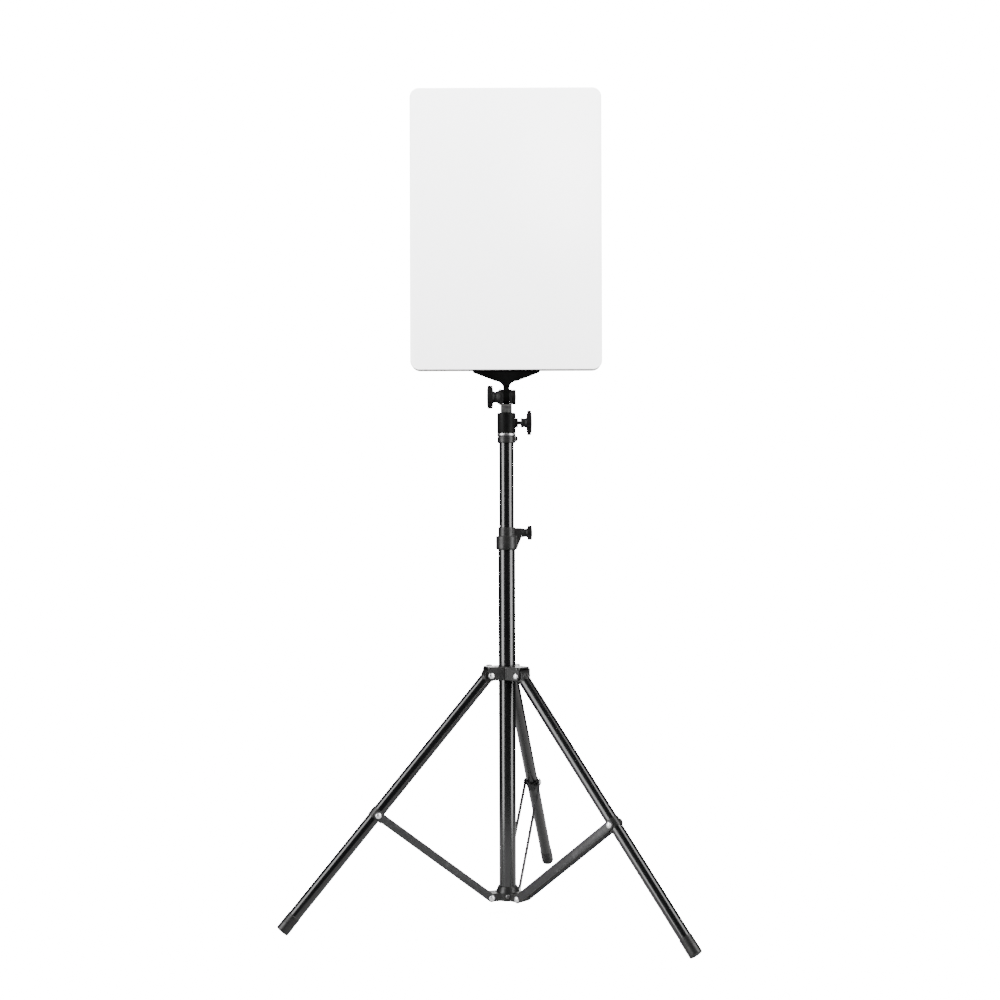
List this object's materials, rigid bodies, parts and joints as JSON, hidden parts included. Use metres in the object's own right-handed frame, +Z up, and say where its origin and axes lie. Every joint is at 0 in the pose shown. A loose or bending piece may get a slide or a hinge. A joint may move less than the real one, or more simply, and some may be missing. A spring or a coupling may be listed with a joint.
{
  "type": "led panel light on stand",
  "caption": "Flat soft LED light panel on a tilting head, on a telescopic column with folding braced legs and clamp knobs.",
  "frame": {"origin": "on the column's axis, on the floor that the three feet stand on", "axes": "+Z up along the column, -Y the way the light faces, +X to the right of the light as seen from its front"},
  "size_m": [0.5135, 0.4983, 1.072],
  "materials": {
    "tube": "gloss",
    "casting": "satin",
    "bush": "matte",
    "knob": "satin",
    "steel": "satin",
    "rivet": "polished",
    "bright": "satin",
    "fork": "satin",
    "bar": "satin",
    "rubber": "matte",
    "white_shell": "satin",
    "opal": "satin",
    "board_metal": "matte",
    "led": "satin",
    "board_green": "satin",
    "black_plate": "satin",
    "display": "gloss"
  },
  "bodies": {
    "column": {"outer_tube": "tube", "spreader_hub": "casting", "hub_screw": "steel", "column_end_plug": "casting", "mid_lock_collar": "casting"},
    "leg_collar_slide": {"leg_collar": "casting", "leg_collar_rivets": "rivet"},
    "leg_lock": {"leg_lock_knob": "knob", "leg_lock_screw": "steel"},
    "mid_lock": {"mid_lock_knob": "knob", "mid_lock_screw": "steel"},
    "middle_riser": {"middle_tube": "tube", "middle_guide_bush": "bush", "top_lock_collar": "casting"},
    "top_lock": {"top_lock_knob": "casting"},
    "top_riser": {"top_tube": "tube", "top_guide_bush": "bush", "spigot": "bright"},
    "head": {"head_socket": "casting", "tilt_fork": "fork", "fork_screw": "steel", "tilt_nut": "knob"},
    "socket_clamp": {"clamp_knob": "knob", "clamp_screw": "steel"},
    "tilt_clamp": {"tilt_knob": "knob", "tilt_bolt": "steel"},
    "light": {"panel_foot": "casting", "foot_screws": "steel", "rear_housing": "white_shell", "front_diffuser": "opal", "reflector_frame": "white_shell", "led_board": "board_metal", "led_chips": "led", "driver_board": "board_green", "control_plate": "black_plate", "display_window": "display", "dc_inlet": "black_plate", "housing_screws": "steel"},
    "brightness": {"brightness_dial": "knob"},
    "colour": {"colour_dial": "knob"},
    "power": {"power_button": "knob"},
    "leg_left": {"leg_tube_left": "tube", "leg_knuckle_left": "casting", "leg_foot_left": "rubber", "leg_clip_left": "casting"},
    "brace_left": {"brace_bars_left": "bar", "brace_rivets_left": "rivet"},
    "leg_right": {"leg_tube_right": "tube", "leg_knuckle_right": "casting", "leg_foot_right": "rubber", "leg_clip_right": "casting"},
    "brace_right": {"brace_bars_right": "bar", "brace_rivets_right": "rivet"},
    "leg_rear": {"leg_tube_rear": "tube", "leg_knuckle_rear": "casting", "leg_foot_rear": "rubber", "leg_clip_rear": "casting"},
    "brace_rear": {"brace_bars_rear": "bar", "brace_rivets_rear": "rivet"}
  },
  "joints": [
    {"name": "collar_slide", "type": "slide", "parent": "column", "child": "leg_collar_slide", "axis": [0, 0, 1], "range_m": [0, 0.12952]},
    {"name": "leg_lock_turn", "type": "hinge", "parent": "leg_collar_slide", "child": "leg_lock", "pos_m": [-0.01495, 0.01329, 0.313], "axis": [-0.7473, 0.6644, 0], "range_deg": [0, 540]},
    {"name": "mid_lock_turn", "type": "hinge", "parent": "column", "child": "mid_lock", "pos_m": [0.02, 0, 0.496], "axis": [1, 0, 0], "range_deg": [0, 540]},
    {"name": "middle_riser_slide", "type": "slide", "parent": "column", "child": "middle_riser", "axis": [0, 0, 1], "range_m": [-0.108, 0.26]},
    {"name": "top_lock_turn", "type": "hinge", "parent": "middle_riser", "child": "top_lock", "pos_m": [0.00924, 0.01182, 0.61895], "axis": [0.6157, 0.788, 0], "range_deg": [0, 540]},
    {"name": "top_riser_slide", "type": "slide", "parent": "middle_riser", "child": "top_riser", "axis": [0, 0, 1], "range_m": [0, 0.33]},
    {"name": "head_swivel", "type": "hinge", "parent": "top_riser", "child": "head", "pos_m": [0, 0, 0.6256], "axis": [0, 0, 1], "continuous": true},
    {"name": "socket_clamp_turn", "type": "hinge", "parent": "head", "child": "socket_clamp", "pos_m": [0.02, 0, 0.639], "axis": [1, 0, 0], "range_deg": [0, 540]},
    {"name": "tilt_clamp_turn", "type": "hinge", "parent": "head", "child": "tilt_clamp", "pos_m": [-0.02, 0, 0.6725], "axis": [-1, 0, 0], "range_deg": [0, 540]},
    {"name": "light_tilt", "type": "hinge", "parent": "head", "child": "light", "pos_m": [0, 0, 0.6725], "axis": [1, 0, 0], "range_deg": [-90, 90]},
    {"name": "brightness_turn", "type": "hinge", "parent": "light", "child": "brightness", "pos_m": [-0.026, 0.011, 0.797], "axis": [0, 1, 0], "range_deg": [-150, 150]},
    {"name": "colour_turn", "type": "hinge", "parent": "light", "child": "colour", "pos_m": [0, 0.011, 0.797], "axis": [0, 1, 0], "range_deg": [-150, 150]},
    {"name": "power_press", "type": "slide", "parent": "light", "child": "power", "axis": [0, -1, 0], "range_m": [0, 0.0015], "stiffness_N_per_m": 800},
    {"name": "leg_left_fold", "type": "hinge", "parent": "leg_collar_slide", "child": "leg_left", "pos_m": [-0.02373, -0.00788, 0.3123], "axis": [0.315, -0.9491, 0], "range_deg": [0, 41.27]},
    {"name": "brace_left_fold", "type": "hinge", "parent": "column", "child": "brace_left", "pos_m": [-0.02373, -0.00788, 0.0262], "axis": [-0.315, 0.9491, 0], "range_deg": [0, 52.24]},
    {"name": "leg_right_fold", "type": "hinge", "parent": "leg_collar_slide", "child": "leg_right", "pos_m": [0.01868, -0.01661, 0.3123], "axis": [0.6644, 0.7473, 0], "range_deg": [0, 41.27]},
    {"name": "brace_right_fold", "type": "hinge", "parent": "column", "child": "brace_right", "pos_m": [0.01868, -0.01661, 0.0262], "axis": [-0.6644, -0.7473, 0], "range_deg": [0, 52.24]},
    {"name": "leg_rear_fold", "type": "hinge", "parent": "leg_collar_slide", "child": "leg_rear", "pos_m": [0.00504, 0.02449, 0.3123], "axis": [-0.9794, 0.2018, 0], "range_deg": [0, 41.27]},
    {"name": "brace_rear_fold", "type": "hinge", "parent": "column", "child": "brace_rear", "pos_m": [0.00504, 0.02449, 0.0262], "axis": [0.9794, -0.2018, 0], "range_deg": [0, 52.24]}
  ],
  "couplings": [
    {"joint": "leg_left_fold", "follows": "collar_slide", "rad_per_m": 5.5592},
    {"joint": "brace_left_fold", "follows": "collar_slide", "rad_per_m": 7.0365},
    {"joint": "leg_right_fold", "follows": "collar_slide", "rad_per_m": 5.5592},
    {"joint": "brace_right_fold", "follows": "collar_slide", "rad_per_m": 7.0365},
    {"joint": "leg_rear_fold", "follows": "collar_slide", "rad_per_m": 5.5592},
    {"joint": "brace_rear_fold", "follows": "collar_slide", "rad_per_m": 7.0365}
  ]
}
